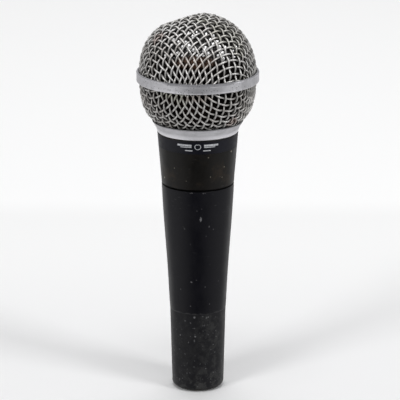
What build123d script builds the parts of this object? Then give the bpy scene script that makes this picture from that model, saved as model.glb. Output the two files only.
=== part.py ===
from build123d import *
import math
import os

# Handheld dynamic vocal microphone, standing on its tail.
# Frame: millimetres, +Z from the tail (cable end) to the ball grille, origin at the centre
# of the tail's rest face. -Y is the front, +Y the back.

os.makedirs("parts", exist_ok=True)
parts = {}

# ---- dimensions shared between sections ---------------------------------------------
THREAD_PITCH = 1.0
THREAD_DEPTH = 0.45
THREAD_CLEAR = 0.08
NECK_THREAD_R = 13.2     # male thread under the head, into the handle
CROWN_THREAD_R = 15.5    # male thread on top of the head, into the grille collar
TUBE_R = 9.8             # chamber under the capsule
TUBE_Z0 = 68.1
INSERT_Z0, INSERT_Z1 = 13.5, 23.5  # connector insert
SCREW_Z = 18.5           # axis of the locking screw
KEY_HALF_W = 2.0         # half width of the key slot
SLIP = 0.05              # clearance between nested pieces


# ---- helpers: outlines are (radius, height) points -----------------------------------
def at(radius, z):
    return Vector(radius, 0, z)


def turned(*outline):
    """Solid of revolution about Z from a closed outline."""
    face = make_face(Polyline(*[at(*point) for point in outline], close=True))
    return revolve(face, Axis.Z, 360)


def ring(inner, outer, low, high):
    return turned((inner, low), (outer, low), (outer, high), (inner, high))


def rod(radius, low, high, x=0, y=0):
    return Pos(x, y, (low + high) / 2) * Cylinder(radius, high - low)


def cross_rod(radius, length, x, y, z):
    """Cylinder along Y, centred on (x, y, z)."""
    return Pos(x, y, z) * Rot(90, 0, 0) * Cylinder(radius, length)


def block(x0, x1, y0, y1, z0, z1):
    return Pos((x0 + x1) / 2, (y0 + y1) / 2, (z0 + z1) / 2) * Box(x1 - x0, y1 - y0, z1 - z0)


def post(half_x, half_y, low, high, x=0):
    """Block centred on y = 0 and on the given x."""
    return block(x - half_x, x + half_x, -half_y, half_y, low, high)


def male_thread(radius, low, high, depth=THREAD_DEPTH):
    """Outline of a ridged cylinder: separate rings at the thread's pitch."""
    root = radius - depth
    count = int((high - low) / THREAD_PITCH)
    start = low + ((high - low) - count * THREAD_PITCH) / 2
    points = [(root, low)]
    for i in range(count):
        z = start + i * THREAD_PITCH
        points += [(root, z + 0.08), (radius, z + 0.4), (radius, z + 0.56), (root, z + 0.9)]
    return points + [(root, high)]


def mesh_shell(outer, inner, outer_tangents=None, inner_tangents=None):
    """Revolved shell between two smooth curves; the inner one is drawn backwards."""
    return revolve(
        make_face([
            Spline(*outer, tangents=outer_tangents),
            Line(outer[-1], inner[-1]),
            Spline(*reversed(inner), tangents=inner_tangents),
            Line(inner[0], outer[0]),
        ]), Axis.Z, 360)


def lead(points, radius):
    """Round wire along a smooth path."""
    path = Spline(*points)
    return sweep(Plane(origin=path @ 0, z_dir=path % 0) * Circle(radius), path=path)


# =====================================================================================
# Grille
# =====================================================================================
TOTAL_H = 162.0          # tail face to grille apex
BALL_R = 24.6            # outside of the woven wire at the equator
BALL_H = 25.0            # height of the dome above its equator
BALL_Z = TOTAL_H - BALL_H
MESH_T = 0.6             # shell that stands for one layer of woven wire
DOME_RIM_Z = 137.2       # the wire ends inside the band
DOME_STEPS = 9


# Dome mesh: a quarter ellipse, a little taller than it is wide.
def dome_curve(inset):
    radius, height = BALL_R - inset, BALL_H - inset
    start = math.asin((DOME_RIM_Z - BALL_Z) / height)
    angles = [start + (math.pi / 2 - start) * k / DOME_STEPS for k in range(DOME_STEPS + 1)]
    return [at(radius * math.cos(a), BALL_Z + height * math.sin(a)) for a in angles]


parts["grille_dome_mesh"] = mesh_shell(
    dome_curve(0), dome_curve(MESH_T), [(0, 0, 1), (-1, 0, 0)], [(1, 0, 0), (0, 0, -1)])

# Lower mesh: nearly upright under the band, turning in to the collar.
BOWL_OUTLINE = [
    (17.9, 116.95), (18.3, 117.5), (18.72, 118.02), (19.75, 118.95), (20.65, 119.9),
    (21.4, 120.9), (22.3, 122.4), (23.1, 124.5), (23.75, 127.2), (24.2, 130.3),
    (24.45, 133.5), (24.55, 136.3),
]


def inset_curve(outline, thickness):
    """Each point moved inward, square to the line between its neighbours."""
    result = []
    for k, (radius, z) in enumerate(outline):
        before, after = outline[max(k - 1, 0)], outline[min(k + 1, len(outline) - 1)]
        run, rise = after[0] - before[0], after[1] - before[1]
        length = math.hypot(run, rise)
        result.append(at(radius - thickness * rise / length, z + thickness * run / length))
    return result


parts["grille_lower_mesh"] = mesh_shell(
    [at(*point) for point in BOWL_OUTLINE], inset_curve(BOWL_OUTLINE, MESH_T))

# Equator band: rounded lips outside, and a web inside between the wire rims.
BAND_R = 25.5
BAND_Z0, BAND_Z1 = 134.6, 138.85
BAND_LIP = 0.5
BAND_BORE = BALL_R + 0.1
WEB_R, WEB_Z0, WEB_Z1 = 23.35, 136.45, 137.05
parts["grille_band"] = turned(
    (BAND_R - BAND_LIP, BAND_Z0), (BAND_R - 0.15, BAND_Z0 + 0.15), (BAND_R, BAND_Z0 + BAND_LIP),
    (BAND_R - 0.07, BAND_Z0 + 1.1), (BAND_R - 0.05, BAND_Z1 - 1.0),
    (BAND_R - 0.01, BAND_Z1 - BAND_LIP), (BAND_R - 0.17, BAND_Z1 - 0.15),
    (BAND_R - BAND_LIP, BAND_Z1), (BAND_BORE, BAND_Z1), (BAND_BORE, WEB_Z1),
    (WEB_R, WEB_Z1), (WEB_R, WEB_Z0), (BAND_BORE, WEB_Z0), (BAND_BORE, BAND_Z0),
)

# Collar: flared outside, plain bore over the crown thread, a seat for the lower mesh.
COLLAR_Z0, COLLAR_Z1 = 113.05, 118.05
COLLAR_R0, COLLAR_R1 = 16.9, 19.1
COLLAR_BORE = CROWN_THREAD_R + THREAD_CLEAR
SEAT_R, SEAT_Z0, SEAT_Z1 = 17.3, 116.65, 117.5
parts["grille_collar"] = turned(
    (COLLAR_BORE, COLLAR_Z0), (COLLAR_R0 - 0.25, COLLAR_Z0), (COLLAR_R0, COLLAR_Z0 + 0.25),
    (COLLAR_R0 + 0.2, COLLAR_Z0 + 0.95), (COLLAR_R0 + 0.8, COLLAR_Z0 + 2.55),
    (COLLAR_R1 - 0.5, COLLAR_Z1 - 1.0), (COLLAR_R1 - 0.05, COLLAR_Z1 - 0.25),
    (COLLAR_R1 - 0.1, COLLAR_Z1 - 0.04), (COLLAR_R1 - 0.25, COLLAR_Z1),
    (18.82, COLLAR_Z1 - 0.03), (18.1, SEAT_Z0), (SEAT_R, SEAT_Z0), (SEAT_R, SEAT_Z1),
    (COLLAR_BORE, SEAT_Z1),
)

# Foam windscreen, in two pieces, lining the wire.
FOAM_R = 23.2
FOAM_T = 3.0
FOAM_DOME_Z0 = 139.4


def foam_arc(radius):
    """Start, middle and apex of a foam dome surface."""
    start = math.asin((FOAM_DOME_Z0 - BALL_Z) / radius)
    middle = (start + math.pi / 2) / 2
    return [
        at(radius * math.cos(start), FOAM_DOME_Z0),
        at(radius * math.cos(middle), BALL_Z + radius * math.sin(middle)),
        at(0, BALL_Z + radius),
    ]


foam_outer, foam_inner = foam_arc(FOAM_R), foam_arc(FOAM_R - FOAM_T)
parts["foam_dome"] = revolve(
    make_face([
        ThreePointArc(*foam_outer),
        Line(foam_outer[-1], foam_inner[-1]),
        ThreePointArc(*reversed(foam_inner)),
        Line(foam_inner[0], foam_outer[0]),
    ]), Axis.Z, 360)
parts["foam_sleeve"] = turned(
    (16.2, 118.2), (17.6, 118.0), (18.4, 119.2), (19.7, 121.0), (21.2, 124.0),
    (22.1, 127.0), (22.7, 130.0), (23.0, 133.8), (23.1, 139.2), (20.5, 139.2),
    (20.4, 133.8), (19.9, 130.0), (19.2, 127.0), (18.2, 124.0), (17.0, 121.2),
)

# =====================================================================================
# Head
# =====================================================================================
HEAD_Z0, HEAD_Z1 = 90.95, 112.95
HEAD_R0, HEAD_R1 = 15.2, 16.95
NAME_Z0, NAME_Z1 = 107.2, 112.5   # name band
NAME_T = 0.25
GROOVE_DEPTH = 0.3
NAME_INSET = 0.27        # head surface to the inside of the name band
MOUNT_SEAT_R = 13.5      # rubber flange and ring nut


def head_radius(z):
    return HEAD_R0 + (HEAD_R1 - HEAD_R0) * (z - HEAD_Z0) / (HEAD_Z1 - HEAD_Z0)


name_r0, name_r1 = head_radius(NAME_Z0), head_radius(NAME_Z1)

# Shell: tapered, a male thread at each end, a groove for the name band.
parts["head_shell"] = turned(
    (11.4, 84.0), (NECK_THREAD_R - THREAD_DEPTH - 0.3, 83.7),
    *male_thread(NECK_THREAD_R, 84.0, 90.3), (12.4, 90.3), (12.4, HEAD_Z0),
    (HEAD_R0 - 0.3, HEAD_Z0), (HEAD_R0, HEAD_Z0 + 0.3),
    (name_r0 - 0.02, NAME_Z0 - SLIP), (name_r0 - GROOVE_DEPTH, NAME_Z0 - SLIP),
    (name_r1 - GROOVE_DEPTH, NAME_Z1 + SLIP), (name_r1, NAME_Z1 + SLIP),
    (HEAD_R1 - 0.1, HEAD_Z1 - 0.12), (HEAD_R1 - 0.35, HEAD_Z1),
    (CROWN_THREAD_R - THREAD_DEPTH, HEAD_Z1), *male_thread(CROWN_THREAD_R, 113.4, 117.3),
    (CROWN_THREAD_R - THREAD_DEPTH - 0.3, 117.6), (13.6, 117.6), (13.6, 108.0),
    (12.2, 108.0), (12.2, 92.0), (11.4, 91.2),
)

# Name band: a foil ring whose ends meet at the back.
foil_r0, foil_r1 = name_r0 - NAME_INSET, name_r1 - NAME_INSET
parts["name_band"] = turned(
    (foil_r0, NAME_Z0), (foil_r0 + NAME_T, NAME_Z0), (foil_r1 + NAME_T, NAME_Z1),
    (foil_r1, NAME_Z1),
) - block(-0.25, 0.25, 0, 30, 100, 120)

# Rubber shock mount: flange clamped in the head, a rolled web, a sleeve on the chamber.
MOUNT_BORE = TUBE_R + 0.06
parts["shock_mount"] = turned(
    (MOUNT_BORE, 101.5), (10.9, 101.5), (10.9, 105.6), (11.4, 106.4), (11.9, 106.4),
    (12.1, 105.8), (12.1, 107.2), (12.1, 108.05), (MOUNT_SEAT_R, 108.05),
    (MOUNT_SEAT_R, 111.4), (11.6, 111.4), (11.6, 108.6), (11.0, 107.8), (10.9, 109.2),
    (10.9, 112.2), (MOUNT_BORE, 112.2),
)
# Ring nut on the mount's flange, with two tool slots.
parts["mount_ring_nut"] = ring(11.25, MOUNT_SEAT_R, 111.5, 113.2) - post(14, 0.8, 112.4, 114)

# =====================================================================================
# Capsule
# =====================================================================================
CASE_R = 12.0
CASE_BORE = 11.0
CASE_Z0, CASE_FLOOR_Z = 114.3, 116.0
ENTRY_COUNT = 12         # sound entries around the case
MOTOR_R = 10.2           # yoke and top plate
VENT_R = 1.0             # hole down the motor's axis
PLATE_TOP = 125.6

case = turned(
    (2.6, CASE_Z0), (CASE_R, CASE_Z0), (CASE_R, 128.0), (CASE_BORE, 128.0),
    (CASE_BORE, CASE_FLOOR_Z), (2.6, CASE_FLOOR_Z))
for k in range(ENTRY_COUNT):
    case -= Rot(0, 0, k * 360 / ENTRY_COUNT) * block(10.0, 13.0, -1.6, 1.6, 117.4, 120.2)
parts["capsule_case"] = case
parts["entry_screen"] = ring(CASE_R + 0.03, CASE_R + 0.28, 116.6, 121.0)

# Motor: cup-shaped yoke, magnet, pole piece, and a top plate around the coil gap.
parts["magnet_yoke"] = turned(
    (0, CASE_FLOOR_Z + SLIP), (MOTOR_R, CASE_FLOOR_Z + SLIP), (MOTOR_R, 124.0),
    (8.7, 124.0), (8.7, 117.9), (0, 117.9)) - rod(VENT_R, 115, 119)
parts["magnet"] = rod(5.8, 117.95, 123.85) - rod(VENT_R, 117, 125)
parts["pole_piece"] = rod(6.2, 123.9, PLATE_TOP) - rod(VENT_R, 123, 127)
parts["top_plate"] = ring(7.3, MOTOR_R, 124.03, PLATE_TOP)
parts["voice_coil"] = ring(6.45, 7.0, 122.4, 126.55)

# Diaphragm: a shallow dome over the coil and a rolled surround outside it.
FILM_T = 0.16
DOME_SPHERE_R = 14.56    # outside of the dome
DOME_CENTRE_Z = 128.6 - DOME_SPHERE_R
ROLL_R0, ROLL_R1 = 7.05, 9.85
ROLL_MID_R = (ROLL_R0 + ROLL_R1) / 2
ROLL_Z = 126.62


def on_dome(sphere_r, radius):
    return at(radius, DOME_CENTRE_Z + math.sqrt(sphere_r * sphere_r - radius * radius))


top_r, under_r = DOME_SPHERE_R, DOME_SPHERE_R - FILM_T
parts["diaphragm"] = revolve(
    make_face([
        ThreePointArc(on_dome(top_r, 0), on_dome(top_r, 3.6), on_dome(top_r, ROLL_R0)),
        ThreePointArc(on_dome(top_r, ROLL_R0), at(ROLL_MID_R, 127.55 + FILM_T),
                      at(ROLL_R1, ROLL_Z + FILM_T)),
        Line(at(ROLL_R1, ROLL_Z + FILM_T), at(ROLL_R1, ROLL_Z)),
        ThreePointArc(at(ROLL_R1, ROLL_Z), at(ROLL_MID_R, 127.5), at(ROLL_R0, ROLL_Z)),
        Line(at(ROLL_R0, ROLL_Z), at(6.6, ROLL_Z)),
        Line(at(6.6, ROLL_Z), on_dome(under_r, 6.6)),
        ThreePointArc(on_dome(under_r, 6.6), on_dome(under_r, 3.4), on_dome(under_r, 0)),
        Line(on_dome(under_r, 0), on_dome(top_r, 0)),
    ]), Axis.Z, 360)
parts["diaphragm_ring"] = ring(10.0, CASE_BORE - SLIP, PLATE_TOP + SLIP, 127.6)

# Cap: a cup over the top of the case with rings of sound holes around a centre hole.
CAP_HOLES = [  # count, circle radius, hole radius, turn in hole spacings
    (6, 3.9, 1.35, 0), (12, 7.3, 1.35, 0.5), (16, 10.4, 1.2, 0),
]
cap = turned(
    (12.35, 124.2), (12.9, 124.2), (12.9, 131.2), (12.3, 132.0), (0, 132.0), (0, 130.9),
    (11.9, 130.9), (CASE_R + SLIP, 130.4), (CASE_R + SLIP, 124.6))
cap -= rod(1.5, 130, 133)
for count, circle_r, hole_r, turn in CAP_HOLES:
    for k in range(count):
        angle = 2 * math.pi * (k + turn) / count
        cap -= rod(hole_r, 130, 133, circle_r * math.cos(angle), circle_r * math.sin(angle))
parts["front_cap"] = cap
parts["front_screen"] = rod(11.75, 130.35, 130.75)

# Chamber: a tube closed at the bottom, from the capsule down into the handle.
TUBE_BORE = TUBE_R - 1.0
TUBE_TOP = 114.24
parts["rear_chamber"] = turned(
    (TUBE_BORE, 70.0), (TUBE_BORE, TUBE_TOP), (TUBE_R, TUBE_TOP), (TUBE_R, TUBE_Z0 + 0.5),
    (TUBE_R - 0.5, TUBE_Z0), (0, TUBE_Z0), (0, 70.0))
parts["damping_felt"] = rod(TUBE_BORE - 0.06, 108.5, 111.0)

# Terminal board under the chamber, with two pierced solder lugs.
LUG_X = 4.2
board = rod(8.2, 66.7, TUBE_Z0 - SLIP)
lugs = []
for lug_x in (-LUG_X, LUG_X):
    board -= post(0.75, 0.3, 66, 67.6, lug_x)
    lugs.append(post(0.7, 0.25, 63.4, 67.55, lug_x) - cross_rod(0.35, 2, lug_x, 0, 64.4))
parts["terminal_board"] = board
parts["solder_lugs"] = Compound(lugs)

# =====================================================================================
# Handle
# =====================================================================================
HANDLE_TOP = 90.85
TAIL_FLAT_R = 8.85       # outside edge of the rest face
SOCKET_R = 8.2           # bore of the cable socket
SOCKET_CHAMFER = 0.2
HANDLE_BORE = NECK_THREAD_R + THREAD_CLEAR

# Shell: the outside runs up from the tail, the bore comes back down.
HANDLE_TAPER = [
    (11.9, 35.62), (12.02, 38.0), (12.62, 50.0), (13.62, 65.0), (14.64, 80.0), (15.16, 90.0),
]
HANDLE_INSIDE = [
    HANDLE_TAPER[-1], (15.16, HANDLE_TOP - 0.25), (14.9, HANDLE_TOP), (13.5, HANDLE_TOP),
    (HANDLE_BORE, 90.2), (HANDLE_BORE, 82.6), (12.9, 82.0), (11.7, 62.0), (10.4, 40.0),
    (9.7, 28.0), (SOCKET_R, 25.5), (SOCKET_R, SOCKET_CHAMFER), (SOCKET_R + SOCKET_CHAMFER, 0),
]
handle = revolve(
    make_face([
        Line(at(SOCKET_R + SOCKET_CHAMFER, 0), at(TAIL_FLAT_R, 0)),
        ThreePointArc(at(TAIL_FLAT_R, 0), at(10.4, 0.72), at(11.02, 2.6)),
        Line(at(11.02, 2.6), at(11.84, 35.5)),
        Line(at(11.84, 35.5), at(11.9, 35.62)),
        Spline(*[at(*point) for point in HANDLE_TAPER]),
        Polyline(*[at(*point) for point in HANDLE_INSIDE]),
    ]), Axis.Z, 360)
# Key slot and latch pocket inside the socket, at the front.
handle -= block(-KEY_HALF_W, KEY_HALF_W, -9.1, -6.5, -1, 12.0)
handle -= block(-KEY_HALF_W, KEY_HALF_W, -9.8, -6.5, 8.6, 11.4)
# Access hole for the locking screw, at the back.
handle -= cross_rod(1.8, 6, 0, 10.5, SCREW_Z)
parts["handle_shell"] = handle

# Connector insert, with a screw hole at the back and a key slot at the front.
SCREW_R = 1.5
PIN_R, SHANK_R = 1.2, 1.0
PIN_SPREAD = 4.0
PIN_Y = 0.6              # of the two side pins
PINS = [(-PIN_SPREAD, PIN_Y), (PIN_SPREAD, PIN_Y), (0, -PIN_SPREAD)]
insert = rod(SOCKET_R - SLIP, INSERT_Z0, INSERT_Z1)
for x, y in PINS:
    insert -= rod(SHANK_R + 0.02, 10, 30, x, y)
insert -= cross_rod(SCREW_R + SLIP, 4.4, 0, 7.0, SCREW_Z)
insert -= block(-KEY_HALF_W, KEY_HALF_W, -9.5, -7.4, 10, 30)
parts["connector_insert"] = insert

# Contact pins, each with a hollow cup at the top.
pin = turned(
    (0, 2.2), (0.7, 2.2), (PIN_R, 2.8), (PIN_R, INSERT_Z0 - 0.02), (SHANK_R, INSERT_Z0 - 0.02),
    (SHANK_R, INSERT_Z1 + 0.5), (1.15, INSERT_Z1 + 0.5), (1.15, INSERT_Z1 + 4.0),
    (0.75, INSERT_Z1 + 4.0), (0.75, INSERT_Z1 + 2.0), (0, INSERT_Z1 + 2.0))
parts["contact_pins"] = Compound([Pos(x, y, 0) * pin for x, y in PINS])

# Earth spring: an L-shaped strip from the -X pin to the shell.
spring = block(-7.95, -2.9, PIN_Y - 1.1, PIN_Y + 1.1, INSERT_Z1 + 0.03, INSERT_Z1 + 0.33)
spring -= rod(SHANK_R + 0.06, 20, 30, *PINS[0])
spring += block(-7.95, -7.65, PIN_Y - 1.1, PIN_Y + 1.1, INSERT_Z1 + 0.3, INSERT_Z1 + 1.9)
parts["earth_spring"] = spring

# Locking screw: made upright, then laid along +Y with its slotted end outward.
screw = turned(
    (0, 0), (0.9, 0), *male_thread(SCREW_R, 0.3, 4.4, depth=0.25),
    (SCREW_R, 4.5), (SCREW_R, 5.5), (SCREW_R - 0.2, 5.7), (0, 5.7))
screw -= post(0.25, 2, 4.9, 6)
parts["locking_screw"] = Pos(0, 5.1, SCREW_Z) * Rot(-90, 0, 0) * screw

# Output transformer: core with two windows, bobbin, winding, mastic plug below.
CORE_X, CORE_Y, CORE_Z0 = 7.0, 3.2, 36.0   # half width, half depth, underside
LIMB_X = 1.8             # half width of the core's middle limb
CORE_FIT = 0.06
BOBBIN_X, BOBBIN_Y = 2.4, 3.9              # half sizes of the bobbin's tube
BOBBIN_Z0, BOBBIN_Z1 = 38.5, 50.5
FLANGE_T = 0.8
core = post(CORE_X, CORE_Y, CORE_Z0, 53.0)
for window_x in (-3.2, 3.2):
    core -= post(1.4, 4, 38.4, 50.6, window_x)
parts["transformer_core"] = core

bobbin = post(BOBBIN_X, BOBBIN_Y, BOBBIN_Z0, BOBBIN_Z1)
for flange_z in (BOBBIN_Z0, BOBBIN_Z1 - FLANGE_T):
    bobbin += post(4.5, 6.2, flange_z, flange_z + FLANGE_T)
bobbin -= post(LIMB_X + CORE_FIT, CORE_Y + CORE_FIT, 38, 51)
parts["transformer_bobbin"] = bobbin

winding = post(4.3, 6.0, BOBBIN_Z0 + FLANGE_T + SLIP, BOBBIN_Z1 - FLANGE_T - SLIP)
winding = fillet(winding.edges().filter_by(Axis.Z), 1.4)
winding -= post(BOBBIN_X + SLIP, BOBBIN_Y + SLIP, 38, 51)
parts["transformer_winding"] = winding
parts["transformer_mastic"] = rod(9.9, 33.6, 38.2) - post(
    CORE_X + CORE_FIT, CORE_Y + CORE_FIT, CORE_Z0 - CORE_FIT, 40)

# Leads: two from the lugs to the transformer, three from the pins to the mastic.
parts["lead_yellow"] = lead([
    (-LUG_X, -0.85, 63.9), (-6.2, -1.4, 61.0), (-4.4, -4.2, 58.6),
    (-1.2, -4.8, 56.8), (-2.0, -2.2, 54.9), (-3.2, -1.2, 53.6)], 0.45)
parts["lead_green"] = lead([
    (LUG_X, 0.85, 63.9), (6.4, 1.6, 61.0), (4.6, 4.4, 58.6),
    (1.2, 4.9, 56.8), (2.0, 2.2, 54.9), (3.2, 1.2, 53.6)], 0.45)
PIN_LEADS = {  # x, y at each height in LEAD_Z
    "lead_earth": [PINS[0], (-4.3, 0.7), (-5.8, 1.4), (-5.2, 1.4)],
    "lead_hot": [PINS[1], (4.3, 0.7), (5.8, 1.4), (5.2, 1.4)],
    "lead_cold": [PINS[2], (0.3, -4.3), (0.9, -5.6), (0.6, -5.0)],
}
LEAD_Z = [INSERT_Z1 + 2.6, 28.6, 31.0, 33.3]
for name, stations in PIN_LEADS.items():
    parts[name] = lead([(x, y, z) for (x, y), z in zip(stations, LEAD_Z)], 0.4)

for name, shape in parts.items():
    export_step(shape, os.path.join("parts", name + ".step"))
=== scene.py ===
# A handheld microphone with a woven ball grille, standing on its tail: the axis is Z, the tail is
# at z = 0, the ball's centre at z = 137 mm, and the front faces -Y. The script adds the woven
# grille, foam lining, printed mark, two coiled leads and the handle's enamel to the CAD pieces,
# then gives materials, stage, lights and camera. Shapes are in millimetres; materials, lights
# and stage are in metres.
import math
from functools import reduce

import bmesh
import bpy
import numpy as np
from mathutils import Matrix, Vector, kdtree


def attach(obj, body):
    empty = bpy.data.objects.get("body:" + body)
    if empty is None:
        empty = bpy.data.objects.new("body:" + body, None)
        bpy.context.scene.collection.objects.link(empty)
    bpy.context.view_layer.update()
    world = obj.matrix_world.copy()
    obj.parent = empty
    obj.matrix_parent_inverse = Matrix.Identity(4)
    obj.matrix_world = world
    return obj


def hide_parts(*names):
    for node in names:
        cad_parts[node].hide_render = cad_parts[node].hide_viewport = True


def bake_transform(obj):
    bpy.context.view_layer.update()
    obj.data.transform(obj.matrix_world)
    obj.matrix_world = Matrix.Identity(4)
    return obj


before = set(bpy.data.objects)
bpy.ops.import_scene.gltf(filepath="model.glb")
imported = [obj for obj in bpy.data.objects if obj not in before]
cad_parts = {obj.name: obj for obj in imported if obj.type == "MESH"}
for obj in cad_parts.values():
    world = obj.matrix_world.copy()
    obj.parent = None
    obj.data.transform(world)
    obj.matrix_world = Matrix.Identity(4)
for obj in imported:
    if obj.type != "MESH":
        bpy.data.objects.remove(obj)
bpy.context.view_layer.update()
MM = 0.001
scene = bpy.context.scene
scene.view_settings.view_transform = "Standard"
scene.view_settings.look = "None"

# Driving sizes
WIRE_RADIUS = 0.36
CRIMP = 0.38                  # swing of a wire to either side of the cloth's mid surface
LAYER = WIRE_RADIUS + CRIMP   # depth of the mid surface under the outside of the weave
BALL_Z = 137.0
BALL_CENTRE = np.array([0, 0, BALL_Z])
DOME_RX = 24.6 - LAYER        # half axes of the dome's mid surface
DOME_RZ = 25.0 - LAYER
PARTING_Z = 90.95             # joint between handle and head

# Camera, which also fixes the plane in which the cloth's drift is given
CAMERA_AT = np.array([0.91, -908.6, 360.23])
CAMERA_TILT = 16.99           # degrees below level
LENS = 202.9
SENSOR = 36.0

# =============================================================================
# Geometry tools
# =============================================================================


def make_object(name, verts, faces, smooth=True, attributes=None):
    """Mesh object from points in mm, with optional float attributes per point."""
    mesh = bpy.data.meshes.new(name)
    points = np.asarray(verts, float) * MM
    mesh.from_pydata([tuple(p) for p in points], [], [tuple(int(i) for i in f) for f in faces])
    mesh.validate()
    for key, values in (attributes or {}).items():
        attribute = mesh.attributes.new(key, "FLOAT", "POINT")
        attribute.data.foreach_set("value", np.asarray(values, np.float32))
    if smooth:
        mesh.polygons.foreach_set("use_smooth", [True] * len(mesh.polygons))
    mesh.update()
    return link_object(name, mesh)


def link_object(name, data):
    obj = bpy.data.objects.new(name, data)
    scene.collection.objects.link(obj)
    return obj


def merge(parts):
    """One vertex array and face list from several (vertices, faces) pairs."""
    faces = []
    base = 0
    for verts, part_faces in parts:
        faces += [tuple(i + base for i in face) for face in part_faces]
        base += len(verts)
    return np.concatenate([verts for verts, _ in parts]), faces


def unit(a):
    return a / np.maximum(np.linalg.norm(a, axis=-1, keepdims=True), 1e-12)


def tangents(path):
    return unit(np.gradient(path, axis=0))


def turned(points, angle):
    """Points turned about Z."""
    c, s = math.cos(angle), math.sin(angle)
    x, y, z = points.T
    return np.stack([x * c - y * s, x * s + y * c, z], axis=1)


def tube_rings(path, up, radius, sides):
    """Vertices and faces of a capped round tube; up is one sideways vector per point."""
    along = tangents(path)
    normal = unit(up - along * np.sum(up * along, axis=1)[:, None])
    across = np.cross(along, normal)
    angle = np.arange(sides) * 2 * math.pi / sides
    spokes = (np.cos(angle)[None, :, None] * normal[:, None, :]
              + np.sin(angle)[None, :, None] * across[:, None, :])
    verts = (path[:, None, :] + radius * spokes).reshape(-1, 3)
    faces = []
    for i in range(len(path) - 1):
        here, there = i * sides, (i + 1) * sides
        for k in range(sides):
            k2 = (k + 1) % sides
            faces.append((here + k, there + k, there + k2, here + k2))
    last = (len(path) - 1) * sides
    faces.append(tuple(range(sides)))
    faces.append(tuple(last + k for k in reversed(range(sides))))
    return verts, faces


def chord_lengths(points):
    return np.r_[0, np.cumsum(np.linalg.norm(np.diff(points, axis=0), axis=1))]


def smooth_curve(points, count):
    """Hermite curve through the points, at even steps of their chord length."""
    points = np.array(points, float)
    dist = chord_lengths(points)
    slope = np.gradient(points, dist, axis=0)
    s = np.linspace(0, dist[-1], count)
    k = np.clip(np.searchsorted(dist, s) - 1, 0, len(dist) - 2)
    h = dist[k + 1] - dist[k]
    t = (s - dist[k]) / h
    return ((2 * t**3 - 3 * t**2 + 1)[:, None] * points[k]
            + ((t**3 - 2 * t**2 + t) * h)[:, None] * slope[k]
            + (-2 * t**3 + 3 * t**2)[:, None] * points[k + 1]
            + ((t**3 - t**2) * h)[:, None] * slope[k + 1])


def lathe(outline, segments):
    """Closed outline of (r, z) points turned round Z."""
    verts, faces = [], []
    count = len(outline)
    for s in range(segments):
        angle = 2 * math.pi * s / segments
        verts += [(r * math.cos(angle), r * math.sin(angle), z) for r, z in outline]
        here, there = s * count, (s + 1) % segments * count
        for k in range(count):
            k2 = (k + 1) % count
            faces.append((here + k, there + k, there + k2, here + k2))
    return np.array(verts), faces


# =============================================================================
# Mid surfaces of the two cloths: the dome above the band, the bowl below it
# =============================================================================
# Knocks in the dome: (direction from the ball's centre, radius, depth); below 0 is a bulge
DENTS = [
    ((-0.29, 0.28, 0.91), 10.5, 1.65),
    ((0.02, 0.30, 0.95), 36.0, -0.62),
    ((-0.86, 0.10, 0.50), 12.0, -0.35),
    ((0.407, 0.267, 0.873), 14.0, -0.46),
    ((0.766, 0.188, 0.614), 14.0, -0.50),
    ((-0.788, 0.18, 0.589), 15.0, -0.55),
    ((-0.54, 0.25, 0.80), 8.0, -0.20),
]
DENT_SHELL = 24.4   # distance of the knocks' centres from the ball's centre

# Outside of the bowl, (r, z), from the collar up
BOWL_WALL = [
    (18.72, 118.02), (19.75, 118.95), (20.65, 119.9), (21.4, 120.9), (22.3, 122.4),
    (23.1, 124.5), (23.75, 127.2), (24.2, 130.3), (24.45, 133.5), (24.55, 136.3), (24.58, 139.5),
]


def dented(points):
    points = np.array(points, float)
    for direction, radius, depth in DENTS:
        out = np.array(direction) / np.linalg.norm(direction)
        dist = np.linalg.norm(points - (BALL_CENTRE + out * DENT_SHELL), axis=-1)
        weight = np.clip(1 - (dist / radius) ** 2, 0, 1) ** 2
        points -= (depth * weight)[..., None] * out
    return points


def dome_mid(lowest=134.0):
    angles = np.linspace(math.pi / 2, math.asin((lowest - BALL_Z) / DOME_RZ), 60)
    return [(DOME_RX * math.cos(a), BALL_Z + DOME_RZ * math.sin(a)) for a in angles]


def dome_normal(q):
    x, y, z = q.T
    return unit(np.stack([x / DOME_RX**2, y / DOME_RX**2, (z - BALL_Z) / DOME_RZ**2], axis=1))


def on_dome(q):
    d = q - BALL_CENTRE
    x, y, z = d.T
    reach = np.sqrt((x**2 + y**2) / DOME_RX**2 + z**2 / DOME_RZ**2)
    return BALL_CENTRE + d / np.maximum(reach, 1e-6)[:, None]


def bowl_mid():
    """The wall, carried on to the axis by a power curve so that the net has a pole."""
    (r0, z0), (r1, z1) = BOWL_WALL[:2]
    slope = math.atan2(z1 - z0, r1 - r0) - 0.03
    depth = r0 / math.sin(slope) * (1 - math.cos(slope)) * 1.2
    power = math.tan(slope) * r0 / depth
    cap = [(r, z0 - depth * (1 - (r / r0) ** power)) for r in np.linspace(0, r0, 24)[:-1]]
    points = np.array(cap + BOWL_WALL)
    along = tangents(points)
    mid = points - LAYER * np.c_[along[:, 1], -along[:, 0]]
    mid[0, 0] = 0
    return mid


def measured_profile(points):
    """Arc length, radius and height along a smooth profile."""
    curve = smooth_curve(points, 6000)
    return chord_lengths(curve), curve[:, 0], curve[:, 1]


DOME_PROFILE = measured_profile(dome_mid())
BOWL_PROFILE = measured_profile(bowl_mid())
BOWL_ARC, BOWL_R, BOWL_Z = BOWL_PROFILE
BOWL_SLOPE_R, BOWL_SLOPE_Z = np.gradient(BOWL_R, BOWL_ARC), np.gradient(BOWL_Z, BOWL_ARC)


def bowl_normal(q):
    x, y, z = q.T
    slope_r = np.interp(z, BOWL_Z, BOWL_SLOPE_R)
    slope_z = np.interp(z, BOWL_Z, BOWL_SLOPE_Z)
    rho = np.hypot(x, y)
    return unit(np.stack([x / rho * slope_z, y / rho * slope_z, -slope_r], axis=1))


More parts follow.
